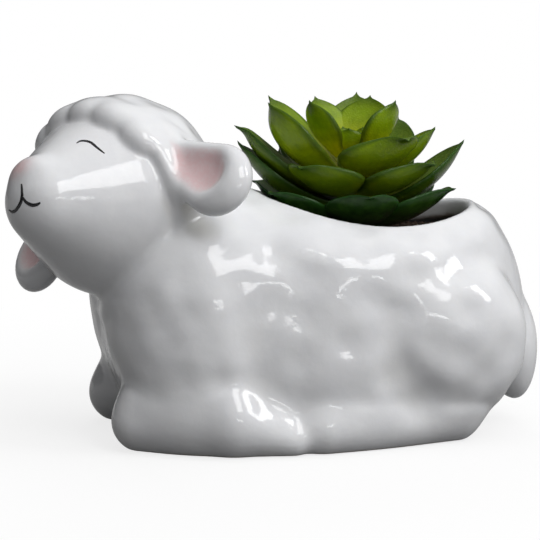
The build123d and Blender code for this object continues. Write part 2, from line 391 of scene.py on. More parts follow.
def ear_frames():
    """Along, across and out of each ear's blade, as rows in the head's frame."""
    frames = []
    for direction, face in zip(EAR_DIRECTIONS, EAR_FACES):
        along = unit(direction)
        out = unit(np.cross(np.cross(along, face), along))
        frames.append(np.array((along, np.cross(out, along), out)))
    return frames


EARS = ear_frames()


def flat_cone(local, span, root_radius, end_radius):
    """Distance to an ear-shaped blade along the first axis."""
    round_way = local / np.array((1.0, 1.0, EAR_FLATNESS))
    return round_cone(round_way, (0, 0, 0), (span, 0, 0), root_radius, end_radius) * EAR_FLATNESS


def ears(q):
    """Both cupped ears; q is in the head's frame."""
    both = None
    for root, axes, span, shift in zip(EAR_ROOTS, EARS, EAR_SPANS, CUP_SHIFTS):
        local = (q - root) @ axes.T
        shell = flat_cone(local, span, EAR_ROOT_RADIUS, EAR_END_RADIUS)
        cup = flat_cone(local - shift, CUP_SPAN * span, CUP_ROOT_RADIUS, CUP_END_RADIUS)
        shell = smooth_max(shell, -cup, blend=2.4)
        both = shell if both is None else np.minimum(both, shell)
    return both


def head(p):
    """Face, nose, hood and ears."""
    q = to_head(p)
    face = round_cone(q, SKULL, MUZZLE, SKULL_RADIUS, MUZZLE_RADIUS)
    face = smooth_min(face, ellipsoid(q, NOSE, NOSE_SIZES / 2), blend=3.5)
    whole = smooth_min(face, hood(q), blend=1.2)
    return smooth_min(whole, ears(q), blend=2.4)


def fore_leg(near):
    """Folded foreleg of the near flank."""
    arm = round_cone(near, KNEE, FETLOCK, KNEE_RADIUS, FETLOCK_RADIUS)
    return smooth_min(arm, round_cone(near, FETLOCK, FORE_TOE, FETLOCK_RADIUS, FORE_TOE_RADIUS), blend=2.0)


def hind_leg(near):
    """Folded hind leg of the near flank."""
    return round_cone(near, HOCK, HIND_TOE, HOCK_RADIUS, HIND_TOE_RADIUS)


def body(p):
    """Loaf, neck, shoulders, haunches, legs and tail, before the hollow is cut."""
    near = near_side(p)
    form = smooth_min(torso(p), ellipsoid(p, NECK, NECK_SIZES / 2), blend=10.0)
    form = smooth_min(form, ellipsoid(near, SHOULDER, SHOULDER_SIZES / 2), blend=13.0)
    form = smooth_min(form, ellipsoid(near, THROAT, THROAT_SIZES / 2), blend=9.0)
    form = smooth_min(form, ellipsoid(near, HAUNCH, HAUNCH_SIZES / 2), blend=2.6)
    form = smooth_min(form, fore_leg(near), blend=6.5)
    form = smooth_min(form, hind_leg(near), blend=5.0)
    form = smooth_max(form, back(p), blend=5.0)
    return smooth_min(form, ellipsoid(p, TAIL, TAIL_SIZES / 2), blend=6.0)


def foot_oval(p):
    """Hollow under the base, inside the ring that the pot stands on."""
    _, chest_in, rump_in, width = TORSO_LEVELS[0]
    front = RUMP_X - BODY_LENGTH * (1.0 - chest_in)
    rear = RUMP_X - BODY_LENGTH * rump_in
    return oval(p, (rear + front) / 2, (rear - front) / 2 - FOOT_WIDTH, width * BODY_WIDTH / 2 - FOOT_WIDTH)


def ceramic(p):
    """Signed distance to the fired pot."""
    form = smooth_max(body(p), -cavity(p), blend=2.6)
    form = smooth_min(form, head(p), blend=2.6)
    form = smooth_max(form, -p[..., 2], blend=0.8)
    recess = np.maximum(foot_oval(p), p[..., 2] - FOOT_DEPTH)
    drain = np.maximum(oval(p, OPENING_X, DRAIN_RADIUS, DRAIN_RADIUS), p[..., 2] - 2 * FLOOR)
    return smooth_max(form, -np.minimum(recess, drain), blend=0.8)


def slopes(field, p, reach=0.15):
    """Gradient of a field at points."""
    steps = np.eye(3) * reach
    return np.stack([field(p + step) - field(p - step) for step in steps], -1) / (2 * reach)


def sampled(field, low, high, cell):
    """Field on a grid, worked out slab by slab."""
    counts = np.ceil((np.asarray(high) - low) / cell).astype(int) + 1
    xs, ys, zs = (low[k] + cell * np.arange(counts[k]) for k in range(3))
    values = np.empty(counts, np.float32)
    ygrid, zgrid = np.meshgrid(ys, zs, indexing="ij")
    for k, x in enumerate(xs):
        values[k] = field(np.stack([np.full_like(ygrid, x), ygrid, zgrid], -1))
    return values


def surface_net(values, low, cell):
    """Points and quads of the zero surface of a sampled field."""
    inside = values < 0
    shape = np.array(values.shape)
    corners = np.array([(i, j, k) for i in (0, 1) for j in (0, 1) for k in (0, 1)])
    filled = sum(
        inside[i : shape[0] - 1 + i, j : shape[1] - 1 + j, k : shape[2] - 1 + k].astype(np.int8)
        for i, j, k in corners
    )
    cells = np.argwhere((filled > 0) & (filled < 8))
    number = np.full(shape - 1, -1)
    number[tuple(cells.T)] = np.arange(len(cells))
    at = np.stack([values[tuple((cells + corner).T)] for corner in corners], -1)
    total = np.zeros((len(cells), 3))
    crossings = np.zeros(len(cells))
    for a in range(8):
        for b in range(a + 1, 8):
            if np.abs(corners[a] - corners[b]).sum() != 1:
                continue
            cut = (at[:, a] < 0) != (at[:, b] < 0)
            share = np.where(cut, at[:, a] / np.where(cut, at[:, a] - at[:, b], 1.0), 0.0)
            total += np.where(cut[:, None], corners[a] + share[:, None] * (corners[b] - corners[a]), 0.0)
            crossings += cut
    points = low + cell * (cells + total / crossings[:, None])
    quads = []
    for axis in range(3):
        one, two = (axis + 1) % 3, (axis + 2) % 3
        first = np.moveaxis(inside, axis, 0)[:-1]
        second = np.moveaxis(inside, axis, 0)[1:]
        edges = np.argwhere(np.moveaxis(first != second, 0, axis))
        edges = edges[(edges[:, one] > 0) & (edges[:, two] > 0)]
        edges = edges[(edges[:, one] < shape[one] - 1) & (edges[:, two] < shape[two] - 1)]
        step_one, step_two = np.eye(3, dtype=int)[one], np.eye(3, dtype=int)[two]
        ring = [edges, edges - step_one, edges - step_one - step_two, edges - step_two]
        quad = np.stack([number[tuple(cell_at.T)] for cell_at in ring], -1)
        outward = inside[tuple(edges.T)]
        quads.append(np.where(outward[:, None], quad, quad[:, ::-1]))
    return points, np.concatenate(quads)


def meshed(field, low, high, cell, passes=4, flattest=0.1, reach=0.7):
    """Points, quads and outward normals of a field's surface.

    Each point of the net is drawn onto the surface, but no further than the reach, in cells.
    """
    net, quads = surface_net(sampled(field, low, high, cell), low, cell)
    points = net
    for _ in range(passes):
        slope = slopes(field, points)
        pull = field(points) / (slope**2).sum(-1).clip(flattest)
        moved = points - slope * pull[:, None] - net
        far = np.linalg.norm(moved, axis=-1, keepdims=True)
        points = net + moved * np.minimum(1.0, reach * cell / far.clip(1e-6))
    slope = slopes(field, points)
    return points, quads, slope / np.linalg.norm(slope, axis=-1, keepdims=True).clip(1e-6)


def mesh_piece(name, points, faces, attributes=None):
    """Object of a mesh given in millimetres, smooth, with named numbers on its points."""
    mesh = bpy.data.meshes.new(name)
    mesh.from_pydata((np.asarray(points) * MM).tolist(), [], [list(map(int, face)) for face in faces])
    mesh.polygons.foreach_set("use_smooth", np.ones(len(mesh.polygons), bool))
    for key, values in (attributes or {}).items():
        layer = mesh.attributes.new(key, "FLOAT", "POINT")
        layer.data.foreach_set("value", np.asarray(values, np.float32))
    mesh.update()
    piece = bpy.data.objects.new(name, mesh)
    bpy.context.scene.collection.objects.link(piece)
    return piece


def spread_points(points, allowed, spacing):
    """Points picked at random among the allowed ones, none nearer to another than the spacing."""
    order = random.permutation(np.flatnonzero(allowed))
    picked = []
    taken = {}
    for index in order:
        key = tuple((points[index] // spacing).astype(int))
        close = False
        for offset in np.ndindex(3, 3, 3):
            block = (key[0] + offset[0] - 1, key[1] + offset[1] - 1, key[2] + offset[2] - 1)
            for other in taken.get(block, ()):
                close = close or np.linalg.norm(points[index] - points[other]) < spacing
        if not close:
            taken.setdefault(key, []).append(index)
            picked.append(index)
    return np.array(picked)


def dent_depth(points, centres, radii, depths, reach=2.6):
    """How far thumb-like dents push the points in; a dent ends at its reach, in radii."""
    depth = np.zeros(len(points))
    for centre, radius, deep in zip(centres, radii, depths):
        near = np.flatnonzero((np.abs(points - centre) < reach * radius).all(-1))
        away = ((points[near] - centre) ** 2).sum(-1) / radius**2
        depth[near] += deep * np.exp(-away)
    return depth


def groove_depth(points, thread=0.01):
    """How far the pressed grooves push the points in, each around a thread of this share of its radius."""
    near = near_side(points)
    depth = np.zeros(len(points))
    for start, end, radius, deep in GROOVES:
        away = round_cone(near, start, end, radius * thread, radius * thread) / radius
        depth += deep * np.exp(-away * np.abs(away))
    # No groove within 1.5 mm of the hollow, the full one from 4 mm
    return depth * smooth_step(1.5, 4.0, cavity(points))


def fleece_share(points, normals):
    """1 on the dented fleece of the body and hood, 0 on the smooth face, ears, legs and inside."""
    q = to_head(points)
    near = near_side(points)
    face = round_cone(q, SKULL, MUZZLE, SKULL_RADIUS, MUZZLE_RADIUS)
    legs = np.minimum(fore_leg(near), hind_leg(near))
    tail = ellipsoid(points, TAIL, TAIL_SIZES / 2)
    share = smooth_step(*FLEECE_FROM["legs"], legs)
    share *= smooth_step(*FLEECE_FROM["face"], face)
    behind_curls = smooth_step(*FLEECE_FROM["hood_edge"], hood_edge(q))
    share *= np.maximum(behind_curls, smooth_step(*FLEECE_FROM["curls"], face))
    share *= smooth_step(*FLEECE_FROM["ears"], ears(q))
    share *= smooth_step(*FLEECE_FROM["hollow"], cavity(points))
    share *= smooth_step(*FLEECE_FROM["tail"], tail)
    share *= smooth_step(*FLEECE_FROM["floor"], points[:, 2])
    # None in creases, a little less towards the chest, and none underneath
    share *= smooth_step(0.5, 0.2, crease_share(points, normals))
    share *= smooth_step(-45.0, 15.0, points[:, 0] + 2.0 * np.maximum(q[:, 2], 0.0)) * 0.4 + 0.6
    return share * smooth_step(-0.9, -0.4, normals[:, 2])


def blush_share(points):
    """1 where the pink colour is sprayed: the nose and the cups of the ears."""
    q = to_head(points)
    pink = NOSE_SPRAY_SHARE * np.exp(-(((q - NOSE_SPRAY) / NOSE_SPRAY_REACH) ** 2).sum(-1))
    for root, axes, span, shift in zip(EAR_ROOTS, EARS, EAR_SPANS, CUP_SHIFTS):
        local = (q - root) @ axes.T
        cup = flat_cone(local - shift, CUP_SPAN * span, CUP_ROOT_RADIUS, CUP_END_RADIUS)
        # Inside the cup, and below the ear's rim
        pink = np.maximum(pink, smooth_step(1.4, -0.4, cup) * smooth_step(4.8, 1.2, local[:, 2]))
    return pink


def crease_share(points, normals, reach=5.0):
    """1 deep in creases, 0 on open form."""
    room = ceramic(points + normals * reach) / reach
    return np.clip(1.0 - room, 0.0, 1.0)


def ceramic_piece():
    """The whole fired pot as one glazed skin, with its thumbed fleece."""
    low = np.array((-80.0, -46.5, -2.5))
    high = np.array((79.0, 46.5, 98.0))
    points, quads, normals = meshed(ceramic, low, high, GLAZE_CELL)
    share = fleece_share(points, normals)
    centres = points[spread_points(points, share > DENT_FLEECE, DENT_SPACING)]
    radii = random.uniform(*DENT_RADII, len(centres))
    depths = random.uniform(*DENT_DEPTHS, len(centres))
    depth = share * dent_depth(points, centres, radii, depths) + groove_depth(points)
    limit = DENT_LIMIT * np.maximum(cavity(points), 1e-6)
    depth = limit * (1.0 - np.exp(-depth / limit))
    points = points - normals * depth[:, None]
    # The foot is bare clay to less than a millimetre up, on faces that look down
    sprayed = {
        "blush": blush_share(points),
        "crease": crease_share(points, normals),
        "bare_clay": smooth_step(0.9, 0.3, points[:, 2]) * (normals[:, 2] < -0.4),
    }
    return mesh_piece("lamb_pot", points, quads, sprayed)


def soil_field(p):
    """Soil that fills the hollow to below the rim, with the hole of the stem."""
    x, y = p[..., 0], p[..., 1]
    lumps = 0.0
    for height, *waves in SOIL_WAVES:
        for along_x, along_y, start in waves:
            height = height * np.sin(along_x * x + along_y * y + start)
        lumps = lumps + height
    # A hair's gap to the pot
    gap = 0.3
    fill = smooth_max(cavity(p) + gap, p[..., 2] - SOIL_TOP - lumps, blend=0.8)
    return np.maximum(fill, STEM_HOLE - np.hypot(x - PLANT_X, y))


def crumb(centre, radius):
    """Points and faces of one irregular lump of soil."""
    golden = (1 + math.sqrt(5)) / 2
    corners = np.array([
        (-1, golden, 0), (1, golden, 0), (-1, -golden, 0), (1, -golden, 0),
        (0, -1, golden), (0, 1, golden), (0, -1, -golden), (0, 1, -golden),
        (golden, 0, -1), (golden, 0, 1), (-golden, 0, -1), (-golden, 0, 1),
    ])
    faces = [
        (0, 11, 5), (0, 5, 1), (0, 1, 7), (0, 7, 10), (0, 10, 11), (1, 5, 9), (5, 11, 4),
        (11, 10, 2), (10, 7, 6), (7, 1, 8), (3, 9, 4), (3, 4, 2), (3, 2, 6), (3, 6, 8),
        (3, 8, 9), (4, 9, 5), (2, 4, 11), (6, 2, 10), (8, 6, 7), (9, 8, 1),
    ]
    stretch = random.uniform(*CRUMB_ROUGHNESS, (len(corners), 1)) * random.uniform(*CRUMB_STRETCH, 3)
    return centre + corners / golden * radius * stretch, faces


def soil_piece():
    """Soil with crumbs lying on it."""
    low = np.array((-40.0, -40.0, 2.0))
    high = np.array((72.0, 40.0, 60.0))
    points, quads, _ = meshed(soil_field, low, high, SOIL_CELL, passes=2)
    parts, faces, first = [points], [quads.tolist()], len(points)
    raised = 0.2
    for _ in range(CRUMBS):
        way, out = random.uniform(0, 2 * math.pi), math.sqrt(random.uniform(0.06, 0.94))
        x = OPENING_X + out * math.cos(way) * (OPENING_LENGTH / 2 - CRUMB_CLEARANCE)
        y = out * math.sin(way) * (OPENING_WIDTH / 2 - CRUMB_CLEARANCE)
        if math.hypot(x - PLANT_X, y) < STEM_HOLE + CRUMB_CLEARANCE:
            continue
        lump, sides = crumb(np.array((x, y, SOIL_TOP + raised)), random.uniform(*CRUMB_RADII))
        parts.append(lump)
        faces.append([[first + corner for corner in side] for side in sides])
        first += len(lump)
    return mesh_piece("soil_fill", np.concatenate(parts), [face for group in faces for face in group])


# Lines painted on the face: turns to the left and up, in degrees, seen from a point in the head
EYE_LINE = ((27.9, 20.5), (29.7, 22.1), (32.6, 22.2), (36.3, 20.4), (39.8, 16.3), (43.9, 11.8))
LIP_LINE = ((15.7, 9.0), (16.0, 3.0), (15.4, -2.5), (12.3, -8.1), (4.2, -12.5), (-3.3, -12.3), (-8.2, -8.9))
CHEEK_LINE = ((15.4, -2.4), (18.5, -8.8), (23.9, -12.8), (28.8, -13.4), (32.4, -12.2))
MOUTH_CENTRE = MUZZLE - np.array((4.0, 2.2, 0.0))
EYE_HALF_WIDTH = 0.42
LIP_HALF_WIDTH = 0.50
CHEEK_HALF_WIDTH = 0.48
# How far the paint stands over the skin at its edges, swells in its middle, and reaches down
PAINT_LIFT = 0.05
PAINT_SWELL = 0.10
PAINT_DEPTH = 0.3


def on_skin(centre, way):
    """Point of the head's skin from a centre along a direction, both in the head's frame."""
    way = unit(way)
    near, far = 6.0, 40.0
    halvings = 40
    for _ in range(halvings):
        middle = (near + far) / 2
        if head(from_head(centre + way * middle)[None])[0] < 0:
            near = middle
        else:
            far = middle
    return from_head(centre + way * near)


def smooth_path(points, count):
    """Points evenly along a smooth line through the given ones."""
    points = np.asarray(points, float)
    padded = np.concatenate([[2 * points[0] - points[1]], points, [2 * points[-1] - points[-2]]])
    path = []
    for at in np.linspace(0, len(points) - 1 - 1e-6, count):
        k = int(at)
        t = at - k
        a, b, c, d = padded[k : k + 4]
        path.append(b + 0.5 * t * (c - a + t * (2 * a - 5 * b + 4 * c - d + t * (3 * (b - c) + d - a))))
    return np.array(path)


def painted_line(name, turns, centre, half_width, side=1):
    """Brush stroke: a thin band that hugs the skin, pointed at both ends."""
    count, across = 40, 5
    path = []
    for left, up in smooth_path(turns, count):
        left, up = math.radians(left * side), math.radians(up)
        way = (math.cos(up) * math.cos(left), math.cos(up) * math.sin(left), math.sin(up))
        path.append(on_skin(centre, way))
    path = np.array(path)
    normals = slopes(head, path)
    normals /= np.linalg.norm(normals, axis=-1, keepdims=True)
    along = np.gradient(path, axis=0)
    sideways = np.cross(normals, along)
    sideways /= np.linalg.norm(sideways, axis=-1, keepdims=True)
    t = np.linspace(0, 1, count)
    # Nearly full over most of its length, and pointed at both ends
    width = half_width * np.clip(np.sin(math.pi * (0.04 + 0.92 * t)) ** 0.45, 0.15, 1)
    offsets = np.linspace(-1, 1, across)
    top = []
    for share in offsets:
        lift = PAINT_LIFT + PAINT_SWELL * (1 - share * share)
        spot = path + sideways * (width * share)[:, None]
        spot -= slopes(head, spot) * head(spot)[:, None]
        top.append(spot + normals * lift)
    under = [row - normals * PAINT_DEPTH for row in top]
    rows = np.array(top + under[::-1])
    points = rows.reshape(-1, 3)
    rings = len(rows)
    faces = []
    for ring in range(rings):
        after = (ring + 1) % rings
        for k in range(count - 1):
            faces.append((ring * count + k, ring * count + k + 1, after * count + k + 1, after * count + k))
    faces.append([ring * count for ring in range(rings)])
    faces.append([ring * count + count - 1 for ring in reversed(range(rings))])
    return mesh_piece(name, points, faces)


# Leaf rings: bowl radius, distance of its middle behind the stem, its lowest point, reach of the tips,
# width and directions; then how yellow the leaves glow and how far their tips hook out, in degrees
LEAF_RINGS = {
    "outer": (40.0, 0.0, 57.2, 29.0, 16.5, (-37, -95, -154, 147, 88, 25), 0.05, 35),
    "lower": (35.0, 0.0, 62.0, 31.0, 16.5, (-6, 168, 110, 52), 0.30, 10),
    "front": (33.0, 0.0, 66.0, 24.5, 17.0, (-50, -130), 0.65, 50),
    "middle": (33.0, 0.0, 66.0, 30.5, 17.0, (169, 110, 52), 0.45, 38),
    "upper": (25.5, 0.0, 71.2, 25.2, 16.5, (-162, 138, 72), 1.0, 34),
    "side": (25.5, 0.0, 71.2, 22.6, 17.5, (-17, -76), 1.0, 34),
    "inner": (28.0, 14.0, 70.4, 13.4, 12.5, (197, 125, 55, -45), 1.0, 10),
    "bud": (30.0, 26.5, 59.0, 3.2, 7.0, (0, 120, 240), 0.8, 4),
}
STEM_FLAT = 3.4
STEM_TOP = 77.0
LEAF_STRETCH = 1.03
LEAF_STEPS = 36
LEAF_SIDES = 24
# Along a leaf, in shares of its length: where it is widest, where and over how much it narrows, where its
# tip hooks out, and the length of the spike at its end
LEAF_WIDEST = 0.45
LEAF_NARROWS = 0.50
LEAF_NARROWING = 0.46
LEAF_HOOKS = 0.82
SPIKE_LENGTH = 0.16
# Across a leaf, in shares of its ring's width: base, gain up to the widest part, spike, and rounding there
LEAF_BASE = 0.50
LEAF_GAIN = 0.72
SPIKE_WIDTH = 0.17
SPIKE_BLEND = 0.12
# Thickness as a share of the width; bulge of the upper face and depth of the keel as shares of the
# thickness; lift of the edges as a share of the half width
LEAF_THICKNESS = 0.15
LEAF_BULGE = 0.30
LEAF_KEEL = 0.95
LEAF_CUP = 0.24
# How much the leaves of a ring differ: lean, hook, waves of the edge and glow
LEAN_VARIES = 0.12
HOOK_VARIES = 0.3
WAVES_VARY = 0.2
GLOW_VARIES = 0.08
# Tips that differ from their ring: lean to one side as a share of the half width, outward turn in degrees
LEAF_TIPS = {
    "side_leaf_1_skin": (0.0, 8),
    "side_leaf_2_skin": (0.55, 85),
    "front_leaf_1_skin": (0.5, 55),
    "front_leaf_2_skin": (-0.4, 55),
    "outer_leaf_1_skin": (0.3, 35),
}


def leaf_spine(radius, behind, low, reach, hook):
    """Distance from the stem, height and slope along the middle of a leaf."""
    # Bowls around the stem begin at its flats, the steeper ones at its top
    if behind == 0:
        start = math.asin(STEM_FLAT / radius)
    else:
        start = math.acos((low + radius - STEM_TOP) / radius)
    end = math.asin(min(1.0, (reach + behind) / radius))
    length = radius * (end - start) * LEAF_STRETCH
    share = np.linspace(0, 1, LEAF_STEPS)
    slope = start + (end - start) * share - math.radians(hook) * smooth_step(LEAF_HOOKS, 1.0, share)
    first = (radius * math.sin(start) - behind, low + radius - radius * math.cos(start))
    step = length / (LEAF_STEPS - 1)
    middle = (slope[1:] + slope[:-1]) / 2
    out = first[0] + np.concatenate([[0], np.cumsum(np.cos(middle) * step)])
    height = first[1] + np.concatenate([[0], np.cumsum(np.sin(middle) * step)])
    return share, out, height, slope


def leaf_piece(name, ring, number):
    """Plump, cupped, pointed leaf with a keel below and a turned-out tip."""
    radius, behind, low, reach, width, ways, glow, hook = LEAF_RINGS[ring]
    vary = random.uniform(-1, 1, 4)
    lean, hook = LEAF_TIPS.get(name, (LEAN_VARIES * vary[0], hook * (1 + HOOK_VARIES * vary[1])))
    share, out, height, slope = leaf_spine(radius, behind, low, reach, hook)
    rise = smooth_step(0.0, LEAF_WIDEST, share)
    fall = np.clip((share - LEAF_NARROWS) / LEAF_NARROWING, 0, 1)
    spike = SPIKE_WIDTH * np.clip((1 - share) / SPIKE_LENGTH, 0, 1)
    half = width / 2 * smooth_max((LEAF_BASE + LEAF_GAIN * rise) * (1 - fall**3.0), spike, SPIKE_BLEND)
    # Three quarters thick at the base, a fifth at the tip
    thick = LEAF_THICKNESS * width * (0.75 + 0.25 * rise) * (1 - 0.8 * fall**1.5)
    sway = lean * width / 2 * smooth_step(0.5, 1.0, share)
    angle = np.linspace(0, 2 * math.pi, LEAF_SIDES, endpoint=False)
    across, side = np.cos(angle), np.sin(angle)
    upper = side > 0
    belly = np.abs(side) ** 0.75
    normal = np.stack([-np.sin(slope), np.zeros_like(slope), np.cos(slope)], -1)
    spine = np.stack([out, np.zeros_like(out), height + 0.4 * thick], -1)
    rows = []
    for k in range(LEAF_STEPS - 1):
        # Slight waves along both edges
        edge = 1 + 0.02 * np.sin(9 * share[k] * (1 + WAVES_VARY * vary[2]) + 3 * np.sign(across))
        lift = LEAF_CUP * half[k] * across**2
        lift = lift + np.where(upper, LEAF_BULGE, -LEAF_KEEL) * thick[k] * belly
        row = spine[k] + normal[k] * lift[:, None]
        row[:, 1] += half[k] * across * edge + sway[k]
        rows.append(row)
    spine[:, 1] = sway
    points = np.concatenate(rows + [spine[:1], spine[-1:]])
    base, tip = len(points) - 2, len(points) - 1
    faces = []
    for k in range(LEAF_STEPS - 2):
        for j in range(LEAF_SIDES):
            after = (j + 1) % LEAF_SIDES
            a, b = k * LEAF_SIDES, (k + 1) * LEAF_SIDES
            faces.append((a + j, a + after, b + after, b + j))
    last = (LEAF_STEPS - 2) * LEAF_SIDES
    for j in range(LEAF_SIDES):
        after = (j + 1) % LEAF_SIDES
        faces.append((base, after, j))
        faces.append((tip, last + j, last + after))
    turn = math.radians(ways[number - 1])
    spun = points.copy()
    spun[:, 0] = PLANT_X + points[:, 0] * math.cos(turn) - points[:, 1] * math.sin(turn)
    spun[:, 1] = points[:, 0] * math.sin(turn) + points[:, 1] * math.cos(turn)
    along = np.concatenate([np.repeat(share[:-1], LEAF_SIDES), [0.0, 1.0]])
    edge = np.concatenate([np.tile(np.abs(across), LEAF_STEPS - 1), [0.0, 1.0]])
    face = np.concatenate([np.tile(np.where(upper, belly, 0.0), LEAF_STEPS - 1), [0.0, 0.0]])
    numbers = {
        "along": along,
        "edge": edge,
        "upper_face": face,
        "glow": np.full(len(points), glow + GLOW_VARIES * vary[3]),
    }
    return mesh_piece(name, spun, faces, numbers)


class Nodes:
    """A material's node tree, with short calls to add and join nodes."""

    def __init__(self, name):
        self.material = bpy.data.materials.new(name)
        self.material.use_nodes = True
        self.tree = self.material.node_tree
        self.shader = self.tree.nodes["Principled BSDF"]
        self.output = self.tree.nodes["Material Output"]

    def add(self, kind, **values):
        node = self.tree.nodes.new("ShaderNode" + kind)
        for key, value in values.items():
            setattr(node, key, value)
        return node

    def join(self, source, target):
        self.tree.links.new(source, target)

    def attribute(self, name):
        return self.add("Attribute", attribute_name=name).outputs["Fac"]

    def noise(self, scale, detail, roughness=0.5):
        place = self.add("TexCoord").outputs["Object"]
        node = self.add("TexNoise")
        node.inputs["Scale"].default_value = scale
        node.inputs["Detail"].default_value = detail
        node.inputs["Roughness"].default_value = roughness
        self.join(place, node.inputs["Vector"])
        return node.outputs["Fac"]

    def mix(self, share, first, second):
        node = self.add("Mix", data_type="RGBA")
        self.socket(share, node.inputs["Factor"])
        self.socket(first, node.inputs[6])
        self.socket(second, node.inputs[7])
        return node.outputs[2]

    def math(self, operation, first, second):
        node = self.add("Math", operation=operation)
        for value, target in zip((first, second), node.inputs):
            self.socket(value, target)
        return node.outputs[0]

    def span(self, value, low, high, to_low=0.0, to_high=1.0):
        node = self.add("MapRange", interpolation_type="SMOOTHSTEP")
        self.socket(value, node.inputs["Value"])
        for key, number in (("From Min", low), ("From Max", high), ("To Min", to_low), ("To Max", to_high)):
            node.inputs[key].default_value = number
        return node.outputs["Result"]

    def socket(self, value, target):
        if isinstance(value, (int, float)):
            target.default_value = value
        elif isinstance(value, tuple):
            target.default_value = (*value, 1.0)
        else:
            self.join(value, target)

    def bump(self, height, distance, strength):
        node = self.add("Bump")
        node.inputs["Distance"].default_value = distance
        node.inputs["Strength"].default_value = strength
        self.join(height, node.inputs["Height"])
        return node.outputs["Normal"]

    def set(self, **values):
        for key, value in values.items():
            self.socket(value, self.shader.inputs[key.replace("_", " ")])
        return self.material


def glaze_material():
    """Thick white glaze: darker and warmer in deep creases, pink where it is sprayed, bare clay on the
    foot.
    """
    n = Nodes("white_glaze")
    mottle = n.noise(90.0, detail=4.0)
    white = n.mix(n.span(mottle, 0.35, 0.65), GLAZE_THIN, GLAZE_THICK)
    # Deep creases turn a darker, warmer white
    creased_white = n.mix(n.span(n.attribute("crease"), 0.35, 0.95), white, GLAZE_IN_CREASES)
    spray = n.math("MULTIPLY", n.attribute("blush"), n.span(n.noise(900.0, detail=2.0), 0.2, 0.8, 0.8, 1.1))
    pink = n.mix(n.span(spray, 0.05, 1.0), creased_white, SPRAYED_PINK)
    clay = n.attribute("bare_clay")
    grain = n.mix(n.noise(1600.0, detail=3.0), CLAY_DARK, CLAY_PALE)
    color = n.mix(clay, pink, grain)
    ripple = n.math("ADD", n.noise(70.0, detail=2.0), n.math("MULTIPLY", n.noise(420.0, detail=2.0), 0.12))
    roughness = n.mix(clay, n.mix(mottle, (0.07, 0.07, 0.07), (0.12, 0.12, 0.12)), (0.85, 0.85, 0.85))
    n.join(n.bump(ripple, distance=0.0008, strength=0.55), n.shader.inputs["Normal"])
    n.shader.inputs["IOR"].default_value = 1.52
    n.shader.inputs["Subsurface Weight"].default_value = 0.06
    n.shader.inputs["Subsurface Radius"].default_value = (0.004, 0.0035, 0.003)
    return n.set(Base_Color=color, Roughness=roughness)


def ink_material():
    """Black underglaze brush line."""
    n = Nodes("underglaze_black")
    thin = n.noise(1400.0, detail=3.0)
    color = n.mix(n.span(thin, 0.3, 0.8), INK_THICK, INK_THIN)
    n.shader.inputs["Roughness"].default_value = 0.12
    return n.set(Base_Color=color)


def soil_material():
    """Dark peat with paler fibres."""
    n = Nodes("potting_soil")
    clods = n.noise(600.0, detail=5.0, roughness=0.7)
    fibres = n.noise(2200.0, detail=3.0, roughness=0.6)
    dark = n.mix(n.span(clods, 0.3, 0.7), SOIL_DARK, SOIL_PALE)
    color = n.mix(n.span(fibres, 0.62, 0.75), dark, SOIL_FIBRE)
    lumps = n.math("ADD", clods, n.math("MULTIPLY", fibres, 0.4))
    n.join(n.bump(lumps, distance=0.0008, strength=0.9), n.shader.inputs["Normal"])
    n.shader.inputs["Roughness"].default_value = 0.95
    return n.set(Base_Color=color)


def leaf_material():
    """Soft plastic: yellow green in the light, dark green at edges and tips, frosted on the upper face."""
    n = Nodes("succulent_plastic")
    along, edge = n.attribute("along"), n.attribute("edge")
    glow, upper = n.attribute("glow"), n.attribute("upper_face")
    streaks = n.noise(260.0, detail=4.0, roughness=0.6)
    deep = n.mix(n.span(streaks, 0.3, 0.7), LEAF_SHADED, LEAF_SHADED_STREAK)
    lit = n.mix(n.span(along, 0.05, 0.7), LEAF_LIT_BASE, LEAF_LIT_END)
    lit = n.mix(n.span(streaks, 0.35, 0.7, 0.0, 0.35), lit, LEAF_LIT_STREAK)
    color = n.mix(n.span(glow, 0.0, 1.0), deep, lit)
    rim = n.math("MAXIMUM", n.span(edge, 0.82, 1.0, 0.0, 0.75), n.span(along, 0.72, 1.0, 0.0, 0.85))
    color = n.mix(rim, color, LEAF_RIM)
    open_face = n.span(upper, 0.15, 0.8)
    frost = n.math("MULTIPLY", open_face, n.span(n.noise(1500.0, detail=3.0), 0.35, 0.7, 0.25, 0.7))
    color = n.mix(n.math("MULTIPLY", frost, 0.26), color, LEAF_FROST)
    fine = n.noise(1900.0, detail=2.0)
    crystal = n.math("ADD", fine, n.math("MULTIPLY", n.noise(380.0, detail=3.0), 0.6))
    n.join(n.bump(crystal, distance=0.0004, strength=0.35), n.shader.inputs["Normal"])
    rough = n.mix(n.span(upper, 0.1, 0.7), (0.10, 0.10, 0.10), (0.30, 0.30, 0.30))
    n.shader.inputs["Subsurface Weight"].default_value = 0.35
    n.shader.inputs["Subsurface Radius"].default_value = (0.0016, 0.0022, 0.0005)
    n.shader.inputs["Specular IOR Level"].default_value = 0.20
    return n.set(Base_Color=color, Roughness=rough)


def stem_material():
    """Moulded plastic of the stem, with flow marks."""
    n = Nodes("stem_plastic")
    marks = n.noise(300.0, detail=4.0)
    color = n.mix(marks, STEM_DARK, STEM_PALE)
    n.join(n.bump(marks, distance=0.0004, strength=0.4), n.shader.inputs["Normal"])
    n.shader.inputs["Roughness"].default_value = 0.5
    return n.set(Base_Color=color)


def seen_directly(n):
    """1 for rays from the camera, less for mirror reflections and transmission."""
    path = n.add("LightPath")
    mirrored = n.math("MAXIMUM", path.outputs["Is Glossy Ray"], path.outputs["Is Transmission Ray"])
    return n.math("MAXIMUM", path.outputs["Is Camera Ray"], n.math("MULTIPLY", mirrored, FLOOR_MIRRORED))


